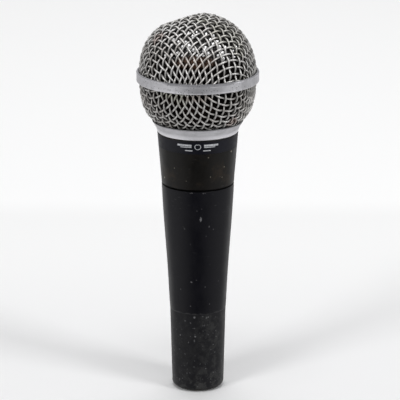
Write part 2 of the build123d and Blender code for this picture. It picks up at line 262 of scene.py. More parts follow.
def on_bowl(q):
    x, y, z = q.T
    rho = np.maximum(np.hypot(x, y), 1e-6)
    scale = np.where(rho < 5, 1.0, np.interp(z, BOWL_Z, BOWL_R) / rho)
    return np.stack([x * scale, y * scale, z], axis=1)


# =============================================================================
# Net of equal wire lengths laid on a surface of revolution
# =============================================================================
KNOT_STEP = 0.66


def solve_net(profile, length):
    """Quarter of the net: knot [i, j] lies KNOT_STEP from [i-1, j] and from [i, j-1]."""
    arc, radius, height = profile
    fine = 0.02
    last = int(arc[-1] / fine)
    grid = np.arange(last + 1) * fine
    columns = [np.interp(grid, arc, radius), np.interp(grid, arc, height)]
    columns += [np.gradient(column, fine) for column in columns]
    table = np.stack(columns, axis=1)

    def profile_at(s):
        """Radius, height and their slopes, or None past the end."""
        i = int(s / fine)
        if i >= last:
            return None
        t = s / fine - i
        return table[i] * (1 - t) + table[i + 1] * t

    def place(s, angle):
        found = profile_at(s)
        if found is None:
            return None
        return np.array([found[0] * math.cos(angle), found[0] * math.sin(angle), found[1]])

    size = int(length / KNOT_STEP) + 1
    net = np.full((size + 1, size + 1, 3), np.nan)
    arcs = np.full((size + 1, size + 1), np.nan)

    def store(i, j, q, s):
        net[i, j], arcs[i, j] = q, s
        net[j, i], arcs[j, i] = (q[1], q[0], q[2]), s

    # the two wires through the pole
    net[0, 0], arcs[0, 0] = place(0, 0), 0
    s = 0.0
    for i in range(1, size + 1):
        guess = s + KNOT_STEP
        for _ in range(4):
            q = place(guess, 0)
            if q is None:
                break
            guess += KNOT_STEP - np.linalg.norm(q - net[i - 1, 0])
        q = place(guess, 0) if guess < arc[-1] - fine else None
        if q is None:
            break
        s = guess
        store(i, 0, q, s)

    def solve_knot(first, second, s, angle):
        """Newton steps to the point KNOT_STEP from both neighbours: (s, angle) or None."""
        for _ in range(12):
            found = profile_at(s)
            if found is None:
                return None
            r, z, dr, dz = found
            c, sn = math.cos(angle), math.sin(angle)
            misses, rows = [], []
            for near in (first, second):
                x, y, h = r * c - near[0], r * sn - near[1], z - near[2]
                misses.append(x * x + y * y + h * h - KNOT_STEP * KNOT_STEP)
                rows.append((2 * (x * dr * c + y * dr * sn + h * dz),
                             2 * (-x * r * sn + y * r * c)))
            if abs(misses[0]) + abs(misses[1]) < 1e-9:
                return s, angle
            (a11, a12), (a21, a22) = rows
            det = a11 * a22 - a12 * a21
            if abs(det) < 1e-12:
                return None
            s -= max(-0.5, min(0.5, (misses[0] * a22 - misses[1] * a12) / det))
            angle -= max(-0.3, min(0.3, (a11 * misses[1] - a21 * misses[0]) / det))
            s = max(s, 0.01)
        return None

    for i in range(1, size + 1):
        for j in range(1, i + 1):
            first, second, corner = net[i - 1, j], net[i, j - 1], net[i - 1, j - 1]
            if np.isnan(first[0]) or np.isnan(second[0]):
                continue
            guess = first + second - corner
            s = max(arcs[i - 1, j] + arcs[i, j - 1] - arcs[i - 1, j - 1], 0.05)
            solved = solve_knot(first, second, s, math.atan2(guess[1], guess[0]))
            if solved:
                store(i, j, place(*solved), solved[0])
    return net


def on_net(net, u, v):
    """Points at wire lengths u and v from the pole; NaN outside the net."""
    a, b = np.abs(u) / KNOT_STEP, np.abs(v) / KNOT_STEP
    i, j = a.astype(int), b.astype(int)
    last = net.shape[0] - 1
    outside = (i >= last) | (j >= last)
    i, j = np.minimum(i, last - 1), np.minimum(j, last - 1)
    t, w = (a - i)[..., None], (b - j)[..., None]
    q = (net[i, j] * (1 - t) * (1 - w) + net[i + 1, j] * t * (1 - w)
         + net[i, j + 1] * (1 - t) * w + net[i + 1, j + 1] * t * w)
    q[..., 0] *= np.where(u < 0, -1, 1)
    q[..., 1] *= np.where(v < 0, -1, 1)
    q[outside] = np.nan
    return q


# =============================================================================
# Drift of the crossings: the cloth was drawn unevenly over its former. Each pass shifts it by a
# cubic in the camera's sensor plane, in mm on the sensor.
# =============================================================================
TILT = math.radians(CAMERA_TILT)
RIGHT = np.array([1.0, 0, 0])
AHEAD = np.array([0, math.cos(TILT), -math.sin(TILT)])
DOWN = np.array([0, -math.sin(TILT), -math.cos(TILT)])
DRIFT_X, DRIFT_HALF_WIDTH, DRIFT_HALF_HEIGHT = -0.225, 4.5, 2.25

# Each pass: ten coefficients of X^i Y^j for the shift right, then ten for the shift down
DOME_PASSES = [
    ([-0.00468, -0.06678, 0.06741, -0.0342, 0.07911, 0.02259, -0.03447, 0.13743, -0.10296,
      -0.16452],
     [0.09567, 0.04455, 0.01467, -0.0009, -0.2115, -0.17028, 0.04653, -0.18693, 0.00729,
      0.42885]),
    ([-0.00018, 0.00009, 0.00126, -0.00288, -0.00927, 0.0153, -0.00297, 0.03312, -0.01935,
      -0.02592],
     [-0.02295, -0.0522, 0.00612, 0.03321, 0.00063, -0.00702, -0.01935, -0.02385, 0.01197,
      0.03942]),
]
BOWL_PASSES = [
    ([-0.14841, -0.18666, 0.0522, 0.20214, 0.33174, -0.11772, 0.09459, 0.03375, 0.1206,
      -0.4527],
     [-0.20268, 0.03015, -0.02682, 0.19053, 0.53838, -0.16992, 0.11061, 0.02232, -0.24417,
      -0.03474]),
    ([-0.00009, -0.01215, -0.02763, 0.00936, 0.01638, 0.09702, 0.08298, -0.05445, -0.13734,
      0.04113],
     [0.00108, 0.01008, 0.02943, 0.02538, -0.02475, -0.09504, -0.0144, 0.05382, 0.0135,
      0.00495]),
    ([0] * 10,
     [0.02214, -0.06651, -0.018, 0.12051, 0.0162, -0.03492, -0.03618, -0.01278, 0.01323,
      -0.00063]),
]


def drifter(passes, normal_of, project, centre_y, limits_y, most):
    """Function that shifts points by the passes and puts them back on their surface."""

    def shift(coefficients, x, y):
        across = np.clip((x - DRIFT_X) / DRIFT_HALF_WIDTH, -1.0, 1.0)
        down = np.clip((y - centre_y) / DRIFT_HALF_HEIGHT, *limits_y)
        terms = np.stack([across**i * down**j for i in range(4) for j in range(4 - i)], -1)
        return [np.clip(terms @ np.array(c), -most, most) for c in coefficients]

    def drift(q):
        for coefficients in passes:
            normal = normal_of(q)
            sight = q - CAMERA_AT
            depth = sight @ AHEAD
            x, y = LENS * (sight @ RIGHT) / depth, LENS * (sight @ DOWN) / depth
            sight = unit(sight)
            facing = -np.sum(normal * sight, axis=1)
            # fades out on the side turned away from the camera
            fade = np.clip((facing + 0.55) / 0.6, 0, 1)
            fade = fade * fade * (3 - 2 * fade)
            dx, dy = shift(coefficients, x, y)
            for _ in range(3):
                dx, dy = shift(coefficients, x + dx, y + dy)
            move = (dx * depth / LENS)[:, None] * RIGHT + (dy * depth / LENS)[:, None] * DOWN
            move = move * fade[:, None]
            slide = np.sum(normal * move, axis=1) / np.maximum(facing, 0.4)
            q = project(q + move + sight * slide[:, None])
        return q

    return drift


# =============================================================================
# Woven cloths
# =============================================================================
WIRE_SIDES = 8
PER_CROSSING = 8    # points of a wire from one crossing to the next
WIRES_EACH_WAY = 17


def woven(name, net, normal_of, pitch, turn, offsets, parity, keep, drift, seed, shape=None):
    """All wires of a plain weave as capped tubes; keep says which points are inside the trim."""
    rng = np.random.default_rng(seed)
    parts, crown, strand = [], [], []
    reach = WIRES_EACH_WAY * PER_CROSSING
    phase = np.arange(-reach, reach + 1) / PER_CROSSING
    for family in (0, 1):
        own, other = offsets if family == 0 else offsets[::-1]
        for k in range(-WIRES_EACH_WAY, WIRES_EACH_WAY + 1):
            along = (phase + other) * pitch
            line = np.full_like(along, (k + own) * pitch)
            q = on_net(net, line, along) if family == 0 else on_net(net, along, line)
            wobble = rng.normal(0, 0.035)
            wave = np.cos(math.pi * phase) * (-1) ** (k + parity + family)
            wave = wave * (1.12 - 0.12 * wave * wave)
            inside = ~np.isnan(q[:, 0])
            q = turned(q, turn)
            if not inside.any():
                continue
            q[inside] = drift(q[inside])
            inside &= keep(np.nan_to_num(q, nan=-1e3))
            index = np.flatnonzero(inside)
            if len(index) < PER_CROSSING:
                continue
            for run in np.split(index, np.flatnonzero(np.diff(index) > 1) + 1):
                if len(run) < PER_CROSSING // 2 + 2:
                    continue
                mid = q[run]
                normal = normal_of(mid)
                sway = np.linspace(0, rng.uniform(2, 6), len(run)) + rng.uniform(0, 6)
                jitter = wobble + 0.03 * np.sin(sway)
                side = unit(np.cross(tangents(mid), normal))
                path = mid + normal * (CRIMP * wave[run])[:, None] + side * jitter[:, None]
                verts, faces = tube_rings(path, normal, WIRE_RADIUS, WIRE_SIDES)
                rings = verts.reshape(len(run), WIRE_SIDES, 3)
                # crowns are pressed a little flat by the forming die and by wear
                height = np.sum((rings - mid[:, None, :]) * normal[:, None, :], axis=2)
                over = np.maximum(height - (CRIMP + WIRE_RADIUS * 0.80), 0)
                rings = rings - (over * 0.75)[:, :, None] * normal[:, None, :]
                parts.append((rings.reshape(-1, 3), faces))
                level = (height + CRIMP) / (2 * CRIMP + WIRE_RADIUS)
                crown.append(np.clip(level, 0, 1).reshape(-1))
                strand.append(np.full(len(verts), rng.uniform(0, 1)))
    verts, faces = merge(parts)
    if shape is not None:
        verts = shape(verts)
    attributes = {"crown": np.concatenate(crown), "strand": np.concatenate(strand)}
    return make_object(name, verts, faces, attributes=attributes)


# pitch: spacing of the wires at a given radius, scaled to the mid surface
# offsets: the two families' places, in pitches
wire_dome = woven(
    "woven_dome", solve_net(DOME_PROFILE, length=44), dome_normal,
    pitch=2.8389 * DOME_RX / 23.95, turn=math.radians(37.36), offsets=(0.542, 0.212), parity=1,
    keep=lambda q: q[:, 2] > 137.5,
    drift=drifter(DOME_PASSES, dome_normal, on_dome, centre_y=-13.005, limits_y=(-1.3, 1.1),
                  most=0.405),
    seed=3, shape=dented)
wire_bowl = woven(
    "woven_bowl", solve_net(BOWL_PROFILE, length=50), bowl_normal,
    pitch=2.8825 * (24.3 - LAYER) / 23.65, turn=math.radians(30.58), offsets=(0.510, 0.362),
    parity=0, keep=lambda q: (q[:, 2] > 117.75) & (q[:, 2] < 136.0),
    drift=drifter(BOWL_PASSES, bowl_normal, on_bowl, centre_y=-7.875, limits_y=(-0.6, 0.6),
                  most=0.72),
    seed=5)

# =============================================================================
# Foam windscreen: open-cell foam, lumpy at the pore scale
# =============================================================================
NODULE = 1.15                            # least spacing of the flattened nodules
FOAM_OUTER, FOAM_INNER = 23.15, 20.2     # dome lining radii

# Nodules squeezed out through the mesh, each given a painted glint in the foam material: (x, y, z,
# radius)
LUMPS = [
    (-0.5, -11.7, 157.5, 0.45), (-3.8, -11.7, 157.1, 0.55), (3.5, -12.2, 156.8, 0.45),
    (-2.1, -13.4, 156.3, 0.55), (6.4, -12.3, 156.0, 0.55), (5.2, -14.0, 155.2, 0.40),
    (-9.9, -12.3, 154.4, 0.55), (-11.5, -11.6, 153.9, 0.40), (-7.8, -14.2, 154.1, 0.60),
    (-5.0, -15.1, 154.3, 0.42), (8.0, -14.1, 154.0, 0.60), (6.4, -15.4, 153.5, 0.55),
    (-10.7, -13.8, 152.7, 0.42), (-3.5, -16.8, 153.0, 0.80), (-6.2, -16.5, 152.6, 0.62),
    (8.8, -15.4, 152.3, 0.75), (11.3, -14.1, 152.0, 0.35), (15.8, -10.1, 151.1, 0.40),
    (3.1, -17.4, 152.4, 0.60), (-3.7, -17.9, 151.7, 0.50), (-1.6, -18.2, 151.7, 0.68),
    (2.7, -18.3, 151.4, 0.60), (14.5, -12.9, 150.1, 0.30), (-8.2, -17.4, 150.3, 0.42),
    (10.0, -16.6, 150.1, 0.72), (4.3, -18.8, 150.3, 0.65), (-10.7, -16.8, 149.4, 0.50),
    (-13.1, -15.5, 148.7, 0.60), (-6.2, -18.8, 149.5, 0.45), (-0.1, -19.7, 149.7, 0.52),
    (2.3, -19.6, 149.6, 0.40), (8.4, -18.1, 149.3, 0.45), (14.9, -14.3, 147.9, 0.32),
    (10.4, -17.8, 148.0, 0.60), (17.0, -12.7, 146.8, 0.35), (-1.3, -20.7, 147.8, 0.35),
    (-7.0, -19.8, 147.2, 0.35),
]

# Sleeve inside the bowl: closed outline (r, z), up the outer face and down the inner one
SLEEVE = [
    (16.4, 118.3), (17.3, 118.2), (17.9, 119.4), (19.2, 121.2), (20.7, 124.0), (21.6, 127.0),
    (22.2, 130.0), (22.6, 133.8), (22.7, 139.0), (20.7, 139.0), (20.6, 133.8), (20.1, 130.0),
    (19.4, 127.0), (18.4, 124.0), (17.2, 121.2),
]


def hash_noise(points, cell, seed):
    """Smooth value noise in space, 0..1."""
    g = points / cell
    i = np.floor(g).astype(np.int64)
    f = g - i
    f = f * f * (3 - 2 * f)
    total = 0
    for dx, dy, dz in np.ndindex(2, 2, 2):
        h = ((i[:, 0] + dx) * 73856093 ^ (i[:, 1] + dy) * 19349663
             ^ (i[:, 2] + dz) * 83492791 ^ seed * 2654435761)
        h = (h ^ (h >> 13)) * 1274126177 & 0xFFFFFFFF
        value = ((h ^ (h >> 16)) & 0xFFFF) / 65535.0
        weight = ((f[:, 0] if dx else 1 - f[:, 0]) * (f[:, 1] if dy else 1 - f[:, 1])
                  * (f[:, 2] if dz else 1 - f[:, 2]))
        total = total + weight * value
    return total


def dense(points, step):
    """Closed outline cut into pieces about a step long."""
    cut = []
    points = [np.array(p, float) for p in points]
    for a, b in zip(points, points[1:] + points[:1]):
        count = max(1, int(round(np.linalg.norm(b - a) / step)))
        cut += [tuple(a + (b - a) * i / count) for i in range(count)]
    return cut


def scattered(points, order):
    """Points picked in the given order, none nearer than NODULE to another."""
    picked, grid = [], {}
    for i in order:
        p = points[i]
        kx, ky, kz = np.floor(p / NODULE).astype(int)
        near = [q for dx, dy, dz in np.ndindex(3, 3, 3)
                for q in grid.get((kx + dx - 1, ky + dy - 1, kz + dz - 1), ())]
        if all((p[0] - q[0]) ** 2 + (p[1] - q[1]) ** 2 + (p[2] - q[2]) ** 2 > NODULE**2
               for q in near):
            grid.setdefault((kx, ky, kz), []).append(p)
            picked.append(p)
    return picked


def foam(name, outline, step, segments, seed, shape=None, lumps=()):
    obj = make_object(name, *lathe(dense(outline, step), segments))
    bm = bmesh.new()
    bm.from_mesh(obj.data)
    bmesh.ops.remove_doubles(bm, verts=bm.verts, dist=2e-5)
    bmesh.ops.recalc_face_normals(bm, faces=bm.faces)
    bm.normal_update()
    bm.to_mesh(obj.data)
    points = np.array([v.co for v in bm.verts]) / MM
    normals = np.array([v.normal for v in bm.verts])
    bm.free()
    # flattened nodules about a millimetre across, each leaning its own way
    rng = np.random.default_rng(seed)
    seeds = scattered(points, rng.permutation(len(points)))
    tree = kdtree.KDTree(len(seeds))
    for i, p in enumerate(seeds):
        tree.insert(Vector(p), i)
    tree.balance()
    found = [tree.find(Vector(p)) for p in points]
    owner = np.array([hit[1] for hit in found])
    dist = np.array([hit[2] for hit in found])
    tilt = rng.normal(0, 0.30, (len(seeds), 3))
    lean = np.sum(tilt[owner] * (points - np.array(seeds)[owner]), axis=1)
    rise = (0.10 * (1 - np.clip(dist / 0.8, 0, 1) ** 2) - 0.28 + np.clip(lean, -0.3, 0.26)
            + 0.05 * (hash_noise(points, 0.5, seed) - 0.5))
    outer = np.sum(normals * unit(points - BALL_CENTRE), axis=1) > 0.3
    for x, y, z, radius in lumps:
        away = np.linalg.norm(points - np.array([x, y, z]), axis=1)
        weight = np.clip(1 - (away / (1.7 * radius)) ** 2, 0, 1) ** 2 * outer
        rise = rise * (1 - weight) + (0.70 + 0.45 * radius) * weight
    points = points + normals * rise[:, None]
    if shape is not None:
        points = shape(points)
    obj.data.vertices.foreach_set("co", (points * MM).ravel())
    obj.data.polygons.foreach_set("use_smooth", [True] * len(obj.data.polygons))
    obj.data.update()
    return obj


def ball_arc(rx, rz, start, end, count):
    """Arc about the ball's centre, kept just off the axis; angles in radians from level."""
    return [(max(rx * math.cos(a), 0.02), BALL_Z + rz * math.sin(a))
            for a in np.linspace(start, end, count)]


foam_dome = foam(
    "foam_lining_dome",
    ball_arc(FOAM_OUTER, FOAM_OUTER + 0.3, 0.105, math.pi / 2, 40)
    + ball_arc(FOAM_INNER, FOAM_INNER + 0.2, math.pi / 2, 0.12, 30),
    step=0.37, segments=390, seed=11, shape=dented, lumps=LUMPS)
foam_sleeve = foam("foam_lining_sleeve", SLEEVE, step=0.5, segments=300, seed=13)

# =============================================================================
# Printed mark on the front of the name band: a cardioid with three bars on each side
# =============================================================================
MARK_Z = 110.0
CARDIOID_Z, CARDIOID_SIZE, CARDIOID_LINE = MARK_Z + 1.15, 0.95, 0.26
INK_UNDER, INK_TOP = 0.005, 0.045    # faces of the ink above the band
# Bars: (height, thickness, near end, far end)
BARS = [
    (MARK_Z + 1.0, 0.78, 2.6, 8.8),
    (MARK_Z + 0.2, 0.34, 2.6, 7.4),
    (MARK_Z - 1.25, 0.42, 2.2, 5.4),
]


def band_radius(z):
    """The head's cone, 15.2 at the parting and 16.95 a further 22 up; the band is 0.02 under."""
    return 15.2 + (16.95 - 15.2) * (z - PARTING_Z) / 22.0 - 0.02


def print_ribbon(points, width, closed=False):
    """A flat printed line on the band; points are (sideways, height)."""
    points = np.array(points, float)
    if closed:
        along = unit(np.roll(points, -1, 0) - np.roll(points, 1, 0))
    else:
        along = tangents(points)
    normal = np.c_[-along[:, 1], along[:, 0]]
    verts, faces = [], []
    for lift in (INK_UNDER, INK_TOP):
        for side in (-1, 1):
            for x, z in points + normal * side * width / 2:
                r = band_radius(z) + lift
                verts.append((r * math.sin(x / r), -r * math.cos(x / r), z))
    m = len(points)
    lo0, hi0, lo1, hi1 = 0, m, 2 * m, 3 * m
    for i in range(m if closed else m - 1):
        j = (i + 1) % m
        faces += [(lo1 + i, lo1 + j, hi1 + j, hi1 + i), (lo0 + i, hi0 + i, hi0 + j, lo0 + j),
                  (lo0 + i, lo0 + j, lo1 + j, lo1 + i), (hi0 + i, hi1 + i, hi1 + j, hi0 + j)]
    if not closed:
        faces += [(lo0, lo1, hi1, hi0), (m - 1, 2 * m - 1, 4 * m - 1, 3 * m - 1)]
    return verts, faces


def build_mark():
    heart = []
    for k in range(48):
        angle = 2 * math.pi * k / 48
        r = CARDIOID_SIZE * (1 - math.sin(angle))
        heart.append((r * math.cos(angle), CARDIOID_Z + r * math.sin(angle)))
    # the first point and the cusp are left out
    parts = [print_ribbon(heart[1:12] + heart[13:], CARDIOID_LINE, closed=True)]
    for side in (-1, 1):
        for height, thickness, near, far in BARS:
            across = (np.linspace(near, far, 16) * side)[::side]
            parts.append(print_ribbon([(x, height) for x in across], thickness))
    return make_object("pickup_pattern_mark", *merge(parts), smooth=False)


mark = build_mark()

# =============================================================================
# Capsule leads: a loose coil of slack that opens as the head is lifted
# =============================================================================
LEAD_RADIUS = 0.42
COIL_RADIUS = 6.2


def polar(degrees, r, z):
    angle = math.radians(degrees)
    return (r * math.cos(angle), r * math.sin(angle), z)


def lead_path(turn):
    """From the transformer through a coil of slack and up a steep sweep to the lug."""
    start = [(-3.2, -1.2, 53.55), (-3.5, -1.7, 53.75), (-3.4, -3.2, 54.1), polar(266, 5.6, 54.5)]
    coil = [polar(294 + 604 * t, COIL_RADIUS, 54.85 + 3.1 * t) for t in np.linspace(0, 1, 44)]
    sweep = [polar(183, COIL_RADIUS, 58.3), polar(186, 6.22, 59.0), polar(188, 6.25, 60.1),
             polar(190, 6.3, 61.5), polar(192, 6.35, 62.8)]
    end = [polar(194, 6.4, 63.7), (-5.8, -1.4, 64.35), (-4.9, -1.0, 64.65),
           (-4.3, -0.75, 64.95), (-4.15, -0.7, 65.5)]
    return smooth_curve(turned(np.array(start + coil + sweep + end), turn), 460)


def lead(name, turn):
    path = lead_path(turn)
    along = tangents(path)
    # carry the frame along so that the tube doesn't twist
    frames = [unit(np.cross(along[0], np.array([0.31, 0.17, 0.93])))]
    for tangent in along[1:]:
        frames.append(unit(frames[-1] - tangent * np.dot(frames[-1], tangent)))
    return make_object(name, *tube_rings(path, np.array(frames), LEAD_RADIUS, sides=10))


yellow = lead("lead_yellow_coil", turn=0.0)
green = lead("lead_green_coil", turn=math.pi)

# =============================================================================
# Enamel coat on the tapered part of the handle
# =============================================================================
COAT, COAT_FADE, COAT_DEPTH = 0.045, 3.0, 0.5   # proud of the handle, run-out, depth inside it
# Outside of the handle, (r, z)
HANDLE_TAPER = [
    (11.902, 35.66), (11.9983, 37.563), (12.0937, 39.507), (12.187, 41.45), (12.2802, 43.394),
    (12.3751, 45.337), (12.4733, 47.28), (12.5768, 49.223), (12.6871, 51.166),
    (12.8046, 53.108), (12.9282, 55.05), (13.0569, 56.991), (13.1897, 58.932),
    (13.3256, 60.873), (13.4635, 62.814), (13.6024, 64.755), (13.7414, 66.696),
    (13.8797, 68.636), (14.0167, 70.577), (14.1515, 72.518), (14.2837, 74.459),
    (14.4125, 76.401), (14.5373, 78.343), (14.6573, 80.285), (14.7718, 82.227),
    (14.8802, 84.17), (14.9815, 86.113), (15.0751, 88.056), (15.158, 89.95),
]


def build_coat():
    foot, top = HANDLE_TAPER[0][1], HANDLE_TAPER[-1][1]
    # close rings at both ends keep the edges crisp
    heights = [foot, 35.67, 35.68] + list(np.arange(36.0, 89.6, 0.9)) + [89.7, 89.93, 89.94, top]
    radii = np.interp(heights, [z for _, z in HANDLE_TAPER], [r for r, _ in HANDLE_TAPER])
    outer = [(r + COAT * min(1.0, (z - foot) / COAT_FADE, (top - z) / COAT_FADE), z)
             for r, z in zip(radii, heights)]
    inner = [(r - COAT_DEPTH, z) for r, z in zip(radii[-3:2:-1], heights[-3:2:-1])]
    return make_object("handle_enamel", *lathe(outer + inner, 256))


handle_coat = build_coat()

# =============================================================================
# Shader graphs
# =============================================================================


class Graph:
    """Node tree of a material or world, with short calls for the nodes used here."""

    def __init__(self, owner, output, coordinates):
        owner.use_nodes = True
        self.tree = owner.node_tree
        self.tree.nodes.clear()
        self.out = self.node(output)
        self.co = self.node("TexCoord").outputs[coordinates]

    def node(self, kind, inputs=None, **settings):
        made = self.tree.nodes.new("ShaderNode" + kind)
        for key, value in settings.items():
            setattr(made, key, value)
        for key, value in (inputs or {}).items():
            self.put(made.inputs[key], value)
        return made

    def put(self, socket, value):
        if isinstance(value, bpy.types.NodeSocket):
            self.tree.links.new(value, socket)
        elif value is not None:
            if socket.type == "RGBA" and len(value) == 3:
                value = (*value, 1.0)
            socket.default_value = value

    def mapping(self, scale=(1, 1, 1), rot=(0, 0, 0), loc=(0, 0, 0)):
        inputs = {0: self.co, "Scale": scale, "Rotation": rot, "Location": loc}
        return self.node("Mapping", inputs).outputs[0]

    def noise(self, scale, detail=3, rough=0.6, src=None, distort=0.0, out="Fac"):
        inputs = {"Vector": src or self.co, "Scale": scale, "Detail": detail,
                  "Roughness": rough, "Distortion": distort}
        return self.node("TexNoise", inputs).outputs[out]

    def voronoi(self, scale, src, out="Distance"):
        return self.node("TexVoronoi", {"Vector": src, "Scale": scale}).outputs[out]

    def cells(self, scale, src):
        """Distance to the cell's point, and three random values for each cell."""
        colour = self.voronoi(scale, src, out="Color")
        return self.voronoi(scale, src), self.node("SeparateColor", {0: colour}).outputs

    def math(self, operation, a, b=None, c=None):
        return self.node("Math", {0: a, 1: b, 2: c}, operation=operation).outputs[0]

    def times(self, *factors):
        return reduce(lambda a, b: self.math("MULTIPLY", a, b), factors)

    def away(self, value, centre):
        return self.math("ABSOLUTE", self.math("SUBTRACT", value, centre))

    def vector(self, operation, a, b=None, out="Vector"):
        return self.node("VectorMath", {0: a, 1: b}, operation=operation).outputs[out]

    def ramp(self, value, over, to=(0.0, 1.0), smooth=True):
        """The range `over` mapped to the range `to`, clamped."""
        inputs = {"Value": value, "From Min": over[0], "From Max": over[1],
                  "To Min": to[0], "To Max": to[1]}
        kind = "SMOOTHSTEP" if smooth else "LINEAR"
        return self.node("MapRange", inputs, interpolation_type=kind).outputs[0]

    def paint(self, base, colour, *amounts, blend="MIX"):
        """Colour laid over the base by the product of the amounts."""
        mixer = self.node("Mix", data_type="RGBA", blend_type=blend)
        self.put(mixer.inputs["Factor"], self.times(*amounts))
        for socket, value in zip([s for s in mixer.inputs if s.type == "RGBA"], (base, colour)):
            self.put(socket, value)
        return [s for s in mixer.outputs if s.type == "RGBA"][0]

    def mix_shader(self, amount, a, b):
        return self.node("MixShader", {0: amount, 1: a, 2: b}).outputs[0]

    def xyz(self):
        return self.node("SeparateXYZ", {0: self.co}).outputs

    def attribute(self, name):
        return self.node("Attribute", attribute_name=name).outputs["Fac"]

    def bump(self, height, strength, distance):
        inputs = {"Strength": strength, "Distance": distance, "Height": height}
        return self.node("Bump", inputs).outputs[0]

    def wobbled(self, amount, scale):
        """Coordinates pushed about by noise, for ragged edges."""
        centred = self.vector("SUBTRACT", self.noise(scale, out="Color"), (0.5, 0.5, 0.5))
        push = self.node("VectorMath", {0: centred, "Scale": amount}, operation="SCALE")
        return self.vector("ADD", self.co, push.outputs[0])

    def spots(self, points, src):
        """1 inside small given spots: (x, y, z, radius, stretch along z), in mm."""
        total = None
        for x, y, z, radius, stretch in points:
            offset = self.vector("SUBTRACT", src, (x * MM, y * MM, z * MM))
            offset = self.vector("MULTIPLY", offset, (1.0, 1.0, 1.0 / stretch))
            dist = self.vector("LENGTH", offset, out="Value")
            spot = self.ramp(dist, over=(radius * MM * 1.15, radius * MM * 0.7))
            total = spot if total is None else self.math("MAXIMUM", total, spot)
        return total


class Material(Graph):
    SOCKETS = {"color": "Base Color", "metal": "Metallic", "rough": "Roughness",
               "spec": "Specular IOR Level", "normal": "Normal", "coat": "Coat Weight",
               "coat_rough": "Coat Roughness", "coat_ior": "Coat IOR", "sheen": "Sheen Weight"}

    def __init__(self, name):
        self.material = bpy.data.materials.new(name)
        super().__init__(self.material, "OutputMaterial", "Object")
        self.surface = self.node("BsdfPrincipled")
        self.put(self.out.inputs[0], self.surface.outputs[0])

    def set(self, **values):
        for key, value in values.items():
            self.put(self.surface.inputs[self.SOCKETS[key]], value)
        return self.material


def grey(value):
    return (value, value, value)


def scaled(colour, factor):
    return tuple(min(1.0, c * factor) for c in colour)


# =============================================================================
# Materials
# =============================================================================
# Stains on the wire: (colour, amount, spots)
WIRE_STAINS = [
    # olive, high on the right
    ((0.24, 0.245, 0.165), 0.30, [(12.0, -9.0, 155.5, 8.0, 1.0), (15.5, -11.0, 151.0, 5.0, 1.0)]),
    # rust, high on the left and low on the right by the collar
    ((0.30, 0.14, 0.095), 0.38, [(-16.4, -7.0, 154.0, 3.0, 1.0), (14.0, -14.5, 119.8, 3.6, 0.8)]),
    # brown, above and below the band
    ((0.33, 0.24, 0.18), 0.3, [(-1.5, -22.0, 147.4, 9.0, 0.30), (0.0, -24.0, 132.8, 7.0, 0.22)]),
]
FOAM_PATCH = [(-1.0, -21.5, 147.0, 8.5, 0.33)]

# Chips in the enamel: (x, y, z, radius, stretch along z), in mm
HANDLE_CHIPS = [
    (1.2, -14.5, 78.6, 0.46, 2.3), (-0.3, -14.7, 82.4, 0.28, 1.0), (1.7, -14.7, 83.1, 0.22, 1.3),
    (-5.5, -13.1, 74.1, 0.36, 1.5), (-6.1, -12.9, 74.8, 0.25, 0.7), (4.7, -13.5, 75.1, 0.33, 1.4),
    (6.5, -12.6, 73.7, 0.25, 1.2), (3.4, -13.6, 71.0, 0.22, 1.2), (-2.7, -12.3, 50.3, 0.42, 0.7),
    (-0.6, -12.7, 51.3, 0.30, 0.7), (3.1, -12.1, 48.0, 0.36, 0.7), (8.7, -9.1, 49.7, 0.26, 1.0),
    (-7.3, -10.1, 46.4, 0.3, 1.0), (-3.1, -11.7, 39.4, 0.3, 1.0), (4.9, -11.1, 40.0, 0.28, 1.0),
    (-1.4, -11.7, 34.3, 0.42, 1.0), (-5.4, -10.4, 32.3, 0.32, 1.0), (7.6, -9.0, 33.5, 0.3, 1.0),
    (3.6, -11.2, 34.0, 0.34, 1.2), (-3.1, -11.3, 31.6, 0.25, 1.6), (2.7, -11.4, 30.5, 0.22, 2.4),
    (4.0, -11.1, 30.6, 0.2, 2.2), (-1.5, -11.6, 29.3, 0.3, 1.0), (-7.5, -8.8, 25.3, 0.4, 1.0),
    (-3.1, -11.2, 25.5, 0.26, 1.0), (-1.1, -11.5, 25.5, 0.42, 0.8), (-1.5, -11.4, 23.6, 0.36, 1.7),
    (-4.0, -10.8, 22.6, 0.3, 1.3), (7.2, -8.8, 17.6, 0.26, 1.0), (-5.5, -10.0, 17.1, 0.26, 1.6),
    (-1.4, -11.2, 14.4, 0.26, 1.0), (10.1, -4.9, 12.2, 0.3, 1.0), (-1.7, -11.1, 11.7, 0.3, 1.0),
    (-2.4, -14.9, 90.05, 0.39, 0.5), (-3.2, -14.8, 90.05, 0.39, 0.5),
    (2.2, -14.9, 90.0, 0.39, 0.5), (3.0, -14.8, 90.0, 0.36, 0.5),
]
HEAD_CHIPS = [
    (4.3, -15.8, 105.6, 0.36, 0.7), (13.9, -8.7, 106.3, 0.4, 0.8), (10.9, -11.6, 100.6, 0.36, 0.9),
    (5.2, -14.8, 97.0, 0.28, 1.0), (10.0, -12.0, 96.2, 0.26, 1.0), (-9.7, -12.6, 100.3, 0.25, 1.0),
    (-4.7, -14.8, 95.3, 0.3, 0.8), (-13.9, -6.9, 94.6, 0.4, 1.0),
]
FAINT_CHIP = 0.40    # chips of a smaller radius show at half strength


